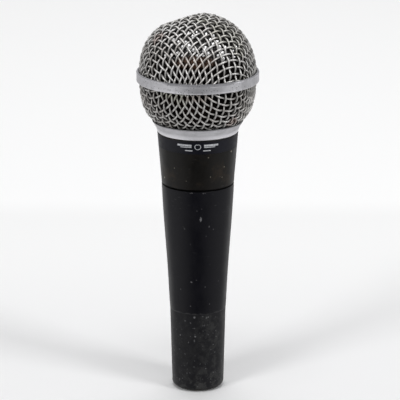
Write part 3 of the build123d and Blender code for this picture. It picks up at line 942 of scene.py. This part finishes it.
def wire_material():
    mat = Material("wire_nickel_worn")
    crown = mat.attribute("crown")
    fine = mat.noise(scale=1400, detail=2)
    patina = mat.ramp(mat.noise(scale=90), over=(0.38, 0.66))
    base = mat.paint((0.62, 0.61, 0.595), (0.45, 0.43, 0.41), patina)
    base = mat.paint(base, grey(0.68), mat.attribute("strand"), 0.3)
    # grime held in the weave, polished crowns
    grime = mat.times(mat.ramp(crown, over=(0.60, 0.22)),
                      mat.ramp(mat.noise(scale=260), over=(0.25, 0.7), to=(0.45, 1.0)))
    base = mat.paint(base, (0.10, 0.092, 0.082), grime, 0.8)
    rust = mat.ramp(mat.noise(scale=55, detail=4, distort=0.4), over=(0.66, 0.74))
    base = mat.paint(base, (0.24, 0.12, 0.07), rust, 0.5)
    shifted = mat.mapping(loc=(0.31, 0.2, 0.1))
    verdigris = mat.ramp(mat.noise(scale=48, rough=0.5, src=shifted), over=(0.60, 0.72))
    base = mat.paint(base, (0.26, 0.27, 0.15), verdigris, 0.4)
    cloudy = mat.wobbled(amount=0.004, scale=160)
    for colour, amount, places in WIRE_STAINS:
        base = mat.paint(base, colour, mat.spots(places, cloudy), amount)
    # painted shade: the wires are darkened little on the face of the ball turned to the camera,
    # more round its sides and top and towards the right, and a painted shadow darkens the bowl low
    # by the collar
    x, y, z = mat.xyz()
    face = mat.math("ADD", mat.times(y, -0.956 / 0.0252),
                    mat.times(mat.math("SUBTRACT", z, 0.1345), 0.292 / 0.0252))
    rim_shade = mat.times(mat.ramp(face, over=(0.82, 0.28), smooth=False),
                        mat.ramp(x, over=(-0.024, 0.024), to=(0.34, 0.60), smooth=False),
                        mat.ramp(z, over=(0.127, 0.137), to=(0.3, 1.0)))
    collar_shadow = mat.ramp(z, over=(0.1212, 0.1186), to=(0.0, 0.62))
    base = mat.paint(base, (0.105, 0.102, 0.092), mat.math("MAXIMUM", rim_shade, collar_shadow))
    rough = mat.math("ADD", mat.ramp(fine, over=(0.3, 0.7), to=(0.42, 0.56)),
                     mat.times(grime, 0.15))
    return mat.set(color=base, metal=mat.ramp(grime, over=(0.0, 1.0), to=(0.85, 0.5)),
                   rough=rough, normal=mat.bump(fine, strength=0.15, distance=0.00004))


def band_material(name, bright, pit, scratch, fade=None):
    """Pitted nickel; fade is (bottom, top, gain below, gain above): painted light brightens below
    it, painted shade darkens above it and a painted shadow darkens the top edge.
    """
    mat = Material(name)
    z = mat.xyz()["Z"]
    cloud = mat.noise(scale=140, detail=4)
    pits = mat.voronoi(scale=1250, src=mat.wobbled(amount=0.0006, scale=700))
    pit_mask = mat.times(mat.ramp(pits, over=(0.34, 0.14)),
                         mat.ramp(mat.noise(scale=420, detail=2, rough=0.5), over=(0.38, 0.6)))
    hair = mat.noise(scale=900, rough=0.7, src=mat.mapping(scale=(0.12, 0.12, 2.6)))
    base = mat.paint(bright, scaled(bright, 0.78), mat.ramp(cloud, over=(0.35, 0.68)))
    base = mat.paint(base, (0.10, 0.095, 0.10), pit_mask, pit)
    base = mat.paint(base, (0.95, 0.95, 0.97), mat.ramp(hair, over=(0.56, 0.72)), scratch)
    # painted shade along the band's top lip, deepest near the middle in x, where the lip is also
    # made rougher
    front = mat.ramp(mat.away(mat.xyz()["X"], 0.0005), over=(0.0165, 0.0120))
    lip_shade_foot = mat.math("SUBTRACT", 0.1384, mat.times(front, 0.0009))
    lip_shade = mat.ramp(z, over=(lip_shade_foot, 0.1387))
    base = mat.paint(base, (0.13, 0.13, 0.138), lip_shade,
                     mat.ramp(front, over=(0.0, 1.0), to=(0.66, 0.84)))
    if fade:
        bottom, top, gain_below, gain_above = fade
        # painted light below the fade's range, painted shade above it
        base = mat.paint(mat.paint(base, scaled(bright, gain_below), 1.0),
                         mat.paint(base, grey(0.0), 1.0 - gain_above),
                         mat.ramp(z, over=(bottom, top), smooth=False))
        # the order of the two layers: the painted shadow at the top edge lies over the painted
        # light and shade of the fade
        base = mat.paint(base, (0.10, 0.10, 0.105),
                         mat.ramp(z, over=(0.1173, 0.1179), to=(0.0, 0.72)))
    rough = mat.math("ADD", mat.ramp(hair, over=(0.3, 0.75), to=(0.34, 0.52)),
                     mat.times(lip_shade, 0.3))
    relief = mat.math("SUBTRACT", mat.times(hair, 0.5), pit_mask)
    return mat.set(color=base, metal=0.80, rough=rough,
                   normal=mat.bump(relief, strength=0.45, distance=0.00007))


def tail_wear(mat, z, ragged, base, rough, chip):
    """Dust and scuffs on the lower end, more so towards the tail, and a worn top edge."""
    zone = mat.ramp(z, over=(0.0362, 0.0345))
    base = mat.paint(base, grey(0.13),
                     mat.ramp(mat.away(z, 0.03585), over=(0.00026, 0.00010)),
                     mat.ramp(mat.noise(scale=520, detail=2, rough=0.5), over=(0.42, 0.60)), 0.17)
    deep = mat.ramp(z, over=(0.014, 0.0))
    blot = mat.noise(scale=330, detail=5, rough=0.75, distort=0.4)
    right = mat.ramp(mat.math("ADD", mat.xyz()["X"], mat.times(deep, 0.01)),
                     over=(-0.004, 0.006), to=(0.35, 1.0))
    dust = mat.times(mat.ramp(blot, over=(0.42, 0.62)), zone,
                     mat.times(mat.ramp(deep, over=(0, 1), to=(0.55, 1.0)), right))
    base = mat.paint(base, (0.052, 0.052, 0.050), dust, 0.75)
    base = mat.paint(base, grey(0.014), zone, 0.24)
    dist, chance = mat.cells(scale=900, src=ragged)
    pricks = mat.times(
        mat.ramp(dist, over=(0.30, 0.16)), mat.ramp(chance[0], over=(0.62, 0.95)),
        mat.ramp(mat.noise(scale=150, detail=2, rough=0.5), over=(0.42, 0.6), to=(0.2, 1.0)),
        zone, 0.85)
    chip = mat.math("MAXIMUM", chip, pricks)
    base = mat.paint(base, grey(0.05),
                     mat.ramp(mat.away(z, 0.03555), over=(0.00022, 0.00008)),
                     mat.ramp(mat.noise(scale=160), over=(0.40, 0.60)), 0.25)
    rough = mat.math("ADD", rough, mat.times(zone, 0.14))
    base = mat.paint(base, grey(0.06), mat.ramp(z, over=(0.0903, 0.09055)),
                     mat.ramp(mat.noise(scale=230), over=(0.50, 0.60)), 0.5)
    return base, rough, chip


def enamel(name, low, high, chips, chip_color, speckle, tail=False, brown=None):
    """Black enamel clouded from low to high; speckle is the share of cells with a pin-prick."""
    mat = Material(name)
    z = mat.xyz()["Z"]
    base = mat.paint(low, high, mat.ramp(mat.noise(scale=70, detail=4), over=(0.35, 0.7)))
    if brown:
        blotch = mat.noise(scale=120, detail=4, rough=0.65, distort=0.5)
        base = mat.paint(base, brown, mat.ramp(blotch, over=(0.5, 0.72)), 0.7)
    rub = mat.noise(scale=320, detail=4, rough=0.7, src=mat.mapping(scale=(1, 1, 0.45)))
    rough = mat.ramp(rub, over=(0.3, 0.7), to=(0.36, 0.5))
    ragged = mat.wobbled(amount=0.0009, scale=1300)
    faint = mat.spots([c for c in chips if c[3] < FAINT_CHIP], ragged)
    strong = mat.spots([c for c in chips if c[3] >= FAINT_CHIP], ragged)
    chip = mat.math("MAXIMUM", mat.times(faint, 0.5), strong)
    # scattered pin-prick chips
    dist, chance = mat.cells(scale=330, src=ragged)
    size = mat.math("ADD", mat.times(chance[1], 0.09), 0.04)
    pricks = mat.times(mat.math("LESS_THAN", dist, size),
                       mat.ramp(chance[0], over=(1 - speckle, 1 - speckle + 0.02)),
                       mat.ramp(chance[2], over=(0.0, 1.0), to=(0.10, 0.55)))
    chip = mat.math("MAXIMUM", chip, pricks)
    if tail:
        base, rough, chip = tail_wear(mat, z, ragged, base, rough, chip)
    streaks = mat.mapping(scale=(0.25, 0.25, 1.0), rot=(0.5, 0.9, 0.2))
    scratches = mat.noise(scale=1300, detail=2, rough=0.5, src=streaks)
    base = mat.paint(base, grey(0.12), mat.times(
        mat.ramp(scratches, over=(0.66, 0.74)),
        mat.ramp(mat.noise(scale=60, detail=2, rough=0.5), over=(0.45, 0.6))), 0.18)
    base = mat.paint(base, chip_color, chip)
    relief = mat.math("SUBTRACT", mat.times(rub, 0.25), chip)
    # grime in the parting line between head and handle
    gap_edge = mat.ramp(mat.noise(scale=70, detail=2, rough=0.5), over=(0.3, 0.7),
                        to=(0.00045, 0.0008))
    gap = mat.ramp(mat.away(z, PARTING_Z * MM), over=(gap_edge, 0.0003))
    base = mat.paint(base, grey(0.001), gap)
    # painted shade: the rounded foot, which turns down towards the floor, gets a dark warm tone and
    # a lower specular
    foot = mat.ramp(z, over=(0.0022, 0.0008))
    base = mat.paint(base, (0.003, 0.003, 0.002), foot, 0.8)
    # painted sheen: the specular rises at grazing angles, lightening the edges
    facing = mat.node("LayerWeight", {"Blend": 0.5}).outputs["Facing"]
    spec = mat.times(mat.ramp(gap, over=(0.0, 1.0), to=(0.25, 0.03)),
                     mat.ramp(foot, over=(0.0, 1.0), to=(1.0, 0.3)),
                     mat.ramp(facing, over=(0.40, 0.88), to=(1.0, 3.0)))
    return mat.set(color=base, rough=rough, metal=mat.times(chip, 0.3), spec=spec,
                   normal=mat.bump(relief, strength=0.25, distance=0.00006))


def plain_material(name, color, rough, metal, var, scale=200, bump=0.1, bump_scale=900,
                   bump_dist=0.00005, spec=0.5, sheen=0.0, stretch=(1, 1, 1)):
    """One colour varied by a share `var` either way, with a fine noise relief."""
    mat = Material(name)
    src = mat.mapping(scale=stretch)
    cloud = mat.ramp(mat.noise(scale, detail=4, src=src), over=(0.3, 0.72))
    grain = mat.noise(bump_scale, src=src)
    gloss = mat.ramp(grain, over=(0.3, 0.7), to=(max(0.03, rough - 0.07), min(1, rough + 0.08)))
    return mat.set(color=mat.paint(scaled(color, 1 + var), scaled(color, 1 - var), cloud),
                   metal=metal, rough=gloss, spec=spec, sheen=sheen,
                   normal=mat.bump(grain, bump, bump_dist))


def cloth_material():
    """Fine screen: thread waves along the three axes."""
    mat = Material("acoustic_cloth")
    thread = 0.00045
    color = grey(0.06)
    waves = [mat.math("SINE", mat.times(mat.xyz()[axis], 2 * math.pi / thread))
             for axis in "XYZ"]
    weave = mat.times(reduce(lambda a, b: mat.math("ADD", a, b), waves), 0.33)
    base = mat.paint(scaled(color, 0.35), color, mat.ramp(weave, over=(-0.6, 0.7)))
    return mat.set(color=base, rough=0.85, sheen=0.3,
                   normal=mat.bump(weave, strength=0.5, distance=0.0001))


def foam_material():
    mat = Material("foam_lacquered")
    pores = mat.voronoi(scale=1500, src=mat.wobbled(amount=0.0004, scale=900))
    base = mat.paint((0.0012, 0.001, 0.001), (0.006, 0.005, 0.0045),
                     mat.ramp(pores, over=(0.15, 0.55)))
    base = mat.paint(base, (0.018, 0.010, 0.006),
                     mat.ramp(mat.noise(scale=120), over=(0.5, 0.7)), 0.5)
    # a brown patch low on the front of the dome
    base = mat.paint(base, (0.12, 0.066, 0.040),
                     mat.spots(FOAM_PATCH, mat.wobbled(amount=0.004, scale=220)),
                     mat.ramp(mat.noise(scale=600), over=(0.35, 0.6)), 0.85)
    # the top is glazed by handling; the squeezed-out nodules carry painted glints: a pale, partly
    # metallic colour that stands in for their highlights
    glaze = mat.times(mat.ramp(mat.xyz()["Z"], over=(0.1455, 0.1500)),
                      mat.ramp(mat.noise(scale=260, detail=2, rough=0.5), over=(0.30, 0.46),
                               to=(0.0, 0.22)))
    places = dented([lump[:3] for lump in LUMPS])
    lump = mat.spots([(*place, lump[3] * 1.6, 1.0) for place, lump in zip(places, LUMPS)],
                     mat.wobbled(amount=0.0002, scale=1500))
    base = mat.paint(base, grey(0.95), lump)
    return mat.set(color=base, rough=mat.ramp(lump, over=(0.0, 1.0), to=(0.9, 0.36)),
                   metal=mat.times(lump, 0.65), spec=mat.math("MULTIPLY_ADD", lump, 0.45, 0.05),
                   coat=mat.math("MAXIMUM", glaze, lump), coat_rough=0.16, coat_ior=2.0)


materials = {
    "wire": wire_material(),
    "band": band_material("band_nickel_pitted", bright=(0.70, 0.695, 0.725), pit=0.85,
                          scratch=0.3),
    # the collar's fade paints light on its lower part and shade on its upper part
    "collar": band_material("collar_satin_nickel", bright=(0.56, 0.555, 0.58), pit=0.15,
                            scratch=0.5, fade=(0.1136, 0.1158, 1.5, 0.80)),
    "handle": enamel("handle_enamel_black", low=(0.0012, 0.0012, 0.0036),
                     high=(0.0020, 0.0019, 0.0046), chips=HANDLE_CHIPS,
                     chip_color=(0.13, 0.13, 0.135), speckle=0.05, tail=True),
    "head": enamel("head_enamel_brown_black", low=(0.0026, 0.0021, 0.0016),
                   high=(0.0045, 0.0036, 0.0026), chips=HEAD_CHIPS,
                   chip_color=(0.27, 0.25, 0.20), speckle=0.06, brown=(0.020, 0.013, 0.007)),
    "foam": foam_material(),
    "cloth": cloth_material(),
}

# Plain materials: key, name, colour, roughness, metallic, colour variation, other settings
PLAIN = [
    ("name", "name_band_blue_black", (0.0030, 0.0034, 0.0085), 0.40, 0, 0.3,
     dict(scale=90, bump=0.08, bump_scale=600, spec=0.26)),
    ("mark", "printed_silver_ink", (0.46, 0.47, 0.49), 0.5, 0.2, 0.3,
     dict(scale=1500, bump=0.2, bump_scale=2500)),
    ("rubber", "mount_rubber", grey(0.012), 0.7, 0, 0.3, dict(bump=0.25, bump_scale=700)),
    ("brass", "ring_nut_brass", (0.66, 0.47, 0.2), 0.32, 1, 0.12,
     dict(scale=300, stretch=(1, 1, 6))),
    ("case", "capsule_case_spun_alloy", (0.62, 0.62, 0.63), 0.34, 1, 0.08,
     dict(scale=500, stretch=(0.3, 0.3, 4), bump=0.15)),
    ("iron", "plated_iron", (0.50, 0.50, 0.52), 0.35, 1, 0.12, {}),
    ("ferrite", "sintered_magnet", (0.09, 0.09, 0.095), 0.6, 0.4, 0.2, dict(bump=0.2)),
    ("copper", "enamelled_copper_wire", (0.55, 0.20, 0.08), 0.3, 0.9, 0.15,
     dict(scale=2500, stretch=(0.1, 0.1, 3), bump=0.5, bump_scale=2600, bump_dist=0.0001)),
    ("film", "diaphragm_film", (0.60, 0.53, 0.36), 0.22, 0, 0.08, dict(bump=0.06)),
    ("plastic", "capsule_black_plastic", (0.016, 0.016, 0.018), 0.42, 0, 0.2,
     dict(bump=0.12, bump_scale=1300)),
    ("insert", "insert_black_plastic", (0.014, 0.014, 0.015), 0.5, 0, 0.2, dict(bump=0.15)),
    ("felt", "grey_felt", (0.38, 0.35, 0.30), 0.95, 0, 0.3,
     dict(scale=1500, bump=0.8, bump_scale=2200, bump_dist=0.0002, sheen=0.4)),
    ("board", "terminal_board_phenolic", (0.20, 0.10, 0.04), 0.5, 0, 0.2, dict(scale=700)),
    ("tin", "tinned_lug", (0.66, 0.66, 0.64), 0.38, 1, 0.15, {}),
    ("gold", "contact_gold_plate", (0.80, 0.62, 0.30), 0.22, 1, 0.08, {}),
    ("spring", "spring_steel", (0.58, 0.58, 0.60), 0.3, 1, 0.1, {}),
    ("screw", "blackened_screw", (0.10, 0.10, 0.105), 0.38, 0.9, 0.25, {}),
    ("core", "laminated_core", (0.24, 0.24, 0.26), 0.45, 0.9, 0.3,
     dict(scale=500, stretch=(0.2, 9, 0.2), bump=0.5, bump_dist=0.0001)),
    ("bobbin", "bobbin_nylon", (0.62, 0.58, 0.49), 0.45, 0, 0.08, {}),
    ("tape", "winding_tape_amber", (0.52, 0.36, 0.05), 0.3, 0, 0.15,
     dict(scale=700, stretch=(0.3, 0.3, 4))),
    ("mastic", "transformer_mastic", (0.035, 0.03, 0.025), 0.55, 0, 0.4,
     dict(bump=0.6, bump_scale=260, bump_dist=0.0004)),
    ("yellow", "pvc_yellow", (0.72, 0.52, 0.03), 0.4, 0, 0.06, {}),
    ("green", "pvc_green", (0.03, 0.26, 0.07), 0.4, 0, 0.08, {}),
    ("black", "pvc_black", grey(0.012), 0.42, 0, 0.1, {}),
    ("red", "pvc_red", (0.45, 0.02, 0.015), 0.4, 0, 0.08, {}),
    ("white", "pvc_white", (0.72, 0.71, 0.68), 0.4, 0, 0.05, {}),
]
for key, *values, extras in PLAIN:
    materials[key] = plain_material(*values, **extras)

# CAD piece: material
CAD_MATERIALS = {
    "grille_band": "band", "grille_collar": "collar", "head_shell": "head", "name_band": "name",
    "shock_mount": "rubber", "mount_ring_nut": "brass", "capsule_case": "case",
    "entry_screen": "cloth", "magnet_yoke": "iron", "magnet": "ferrite", "pole_piece": "iron",
    "top_plate": "iron", "voice_coil": "copper", "diaphragm": "film", "diaphragm_ring": "case",
    "front_cap": "plastic", "front_screen": "cloth", "rear_chamber": "plastic",
    "damping_felt": "felt", "terminal_board": "board", "solder_lugs": "tin",
    "handle_shell": "handle", "connector_insert": "insert", "contact_pins": "gold",
    "earth_spring": "spring", "locking_screw": "screw", "transformer_core": "core",
    "transformer_bobbin": "bobbin", "transformer_winding": "tape",
    "transformer_mastic": "mastic", "lead_earth": "black", "lead_hot": "red",
    "lead_cold": "white",
}
for piece, key in CAD_MATERIALS.items():
    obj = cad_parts[piece]
    if not obj.data.materials:
        obj.data.materials.append(materials[key])
    for slot in obj.material_slots:
        slot.material = materials[key]

for obj, key in ((wire_dome, "wire"), (wire_bowl, "wire"), (foam_dome, "foam"),
                 (foam_sleeve, "foam"), (mark, "mark"), (yellow, "yellow"), (green, "green"),
                 (handle_coat, "handle")):
    obj.data.materials.append(materials[key])

# =============================================================================
# What the grille pieces, the enamel coat and the mark ride on; the CAD pieces they stand in for,
# and the CAD leads, are hidden
# =============================================================================
for obj, piece, slot in ((wire_dome, "grille_dome_mesh", "wire"),
                         (wire_bowl, "grille_lower_mesh", "wire"),
                         (foam_dome, "foam_dome", "foam"),
                         (foam_sleeve, "foam_sleeve", "foam")):
    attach(obj, "grille")
    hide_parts(piece)
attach(handle_coat, "handle")
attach(mark, "head")
for obj, piece, slot in ((yellow, "lead_yellow", "yellow_pvc"), (green, "lead_green", "green_pvc")):
    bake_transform(obj)
    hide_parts(piece)

# =============================================================================
# Floor, world, lights and camera
# =============================================================================
EVEN_TONE = (0.87, 0.87, 0.875)   # pale tone the camera sees beyond the stage


def floor_material():
    mat = Material("pale_floor")
    x, y, _ = mat.xyz()
    near = mat.paint((0.83, 0.83, 0.835), (0.815, 0.815, 0.82),
                     mat.ramp(mat.noise(scale=3.0, detail=2, rough=0.5), over=(0.3, 0.7)))
    # painted light: the floor turns paler further back, with a soft step behind the object,
    # standing in for the lights' spread
    far = mat.paint(grey(0.885), grey(0.935), mat.ramp(y, over=(0.235, 0.275)))
    mat.set(color=mat.paint(near, far, mat.ramp(y, over=(0.03, 0.20))), rough=0.8, spec=0.1)
    # well away from the object the floor fades to the even tone, for the camera only
    away = mat.math("MAXIMUM", mat.ramp(y, over=(-0.20, -0.62)), mat.ramp(y, over=(0.95, 1.60)))
    away = mat.math("MAXIMUM", away, mat.ramp(mat.math("ABSOLUTE", x), over=(0.34, 0.90)))
    seen = mat.node("LightPath").outputs["Is Camera Ray"]
    even = mat.node("Emission", {"Color": EVEN_TONE}).outputs[0]
    mat.put(mat.out.inputs["Surface"],
            mat.mix_shader(mat.times(away, seen), mat.surface.outputs[0], even))
    mat.material.cycles.emission_sampling = "NONE"
    return mat.material


def build_floor(half=6, z=-0.0001):
    mesh = bpy.data.meshes.new("floor")
    corners = [(-half, -half, z), (half, -half, z), (half, half, z), (-half, half, z)]
    mesh.from_pydata(corners, [], [(0, 1, 2, 3)])
    floor = link_object("floor", mesh)
    mesh.materials.append(floor_material())
    floor.visible_glossy = False


# Tent seen in reflections, dark and open at the front: (place from -Y to +Y, brightness)
TENT = [(0.0, 0.03), (0.13, 0.12), (0.30, 0.28), (0.5, 0.36), (0.72, 0.42), (1.0, 0.60)]
# Soft panels seen in reflections: (direction, cosine at the edge, cosine at full, brightness)
PANELS = [
    ((-0.90, -0.42, -0.12), 0.66, 0.97, 0.40),
    ((0.84, -0.53, -0.12), 0.66, 0.97, 0.30),
    ((0, 0.22, -0.97), 0.42, 0.92, 0.74),
]


def build_world():
    world = bpy.data.worlds.new("studio")
    scene.world = world
    sky = Graph(world, "OutputWorld", "Generated")
    _, y, z = sky.xyz()
    tent = sky.node("ValToRGB", {0: sky.math("MULTIPLY_ADD", y, 0.5, 0.5)})
    tent.color_ramp.interpolation = "B_SPLINE"
    stops = tent.color_ramp.elements
    stops[0].color = (*grey(TENT[0][1]), 1)
    stops[1].color = (*grey(TENT[-1][1]), 1)
    for place, brightness in TENT[1:-1]:
        stops.new(place).color = (*grey(brightness), 1)
    light = sky.paint(tent.outputs[0], (0.78, 0.78, 0.80), sky.ramp(z, over=(0.25, 0.9)))
    for direction, edge, full, brightness in PANELS:
        cosine = sky.vector("DOT_PRODUCT", sky.co, Vector(direction).normalized(), out="Value")
        panel = sky.ramp(cosine, over=(edge, full), to=(0.0, brightness))
        light = sky.paint(light, panel, 1.0, blend="ADD")

    def background(color, strength=1.0):
        return sky.node("Background", {"Color": color, "Strength": strength}).outputs[0]

    rays = sky.node("LightPath").outputs
    lit = sky.mix_shader(rays["Is Glossy Ray"], background((0.95, 0.955, 0.965), strength=0.255),
                         background(light))
    sky.put(sky.out.inputs[0],
            sky.mix_shader(rays["Is Camera Ray"], lit, background(EVEN_TONE)))


def softbox(name, place, size, power, target=(0, 0, 0.12)):
    light = bpy.data.lights.new(name, "AREA")
    light.shape = "RECTANGLE"
    light.size, light.size_y = size
    light.energy = power
    obj = link_object(name, light)
    obj.location = place
    aim = Vector(target) - Vector(place)
    obj.rotation_euler = aim.to_track_quat("-Z", "Y").to_euler()


def build_camera():
    data = bpy.data.cameras.new("photo_camera")
    camera = link_object("photo_camera", data)
    camera.location = CAMERA_AT * MM
    camera.rotation_euler = (math.radians(90 - CAMERA_TILT), 0, 0)
    data.sensor_width = SENSOR
    data.lens = LENS
    data.clip_start, data.clip_end = 0.01, 50
    scene.camera = camera


build_floor()
build_world()
softbox("overhead", place=(-0.02, -0.24, 1.05), size=(0.42, 0.30), power=2.2)
softbox("back_fill", place=(0.0, 0.88, 1.35), size=(1.6, 1.0), power=12.5, target=(0, 0.85, 0))
softbox("left_front", place=(-0.91, -0.94, 0.90), size=(0.40, 0.40), power=7.4)
softbox("right_front", place=(1.09, -0.72, 0.90), size=(0.40, 0.40), power=8.4)
build_camera()
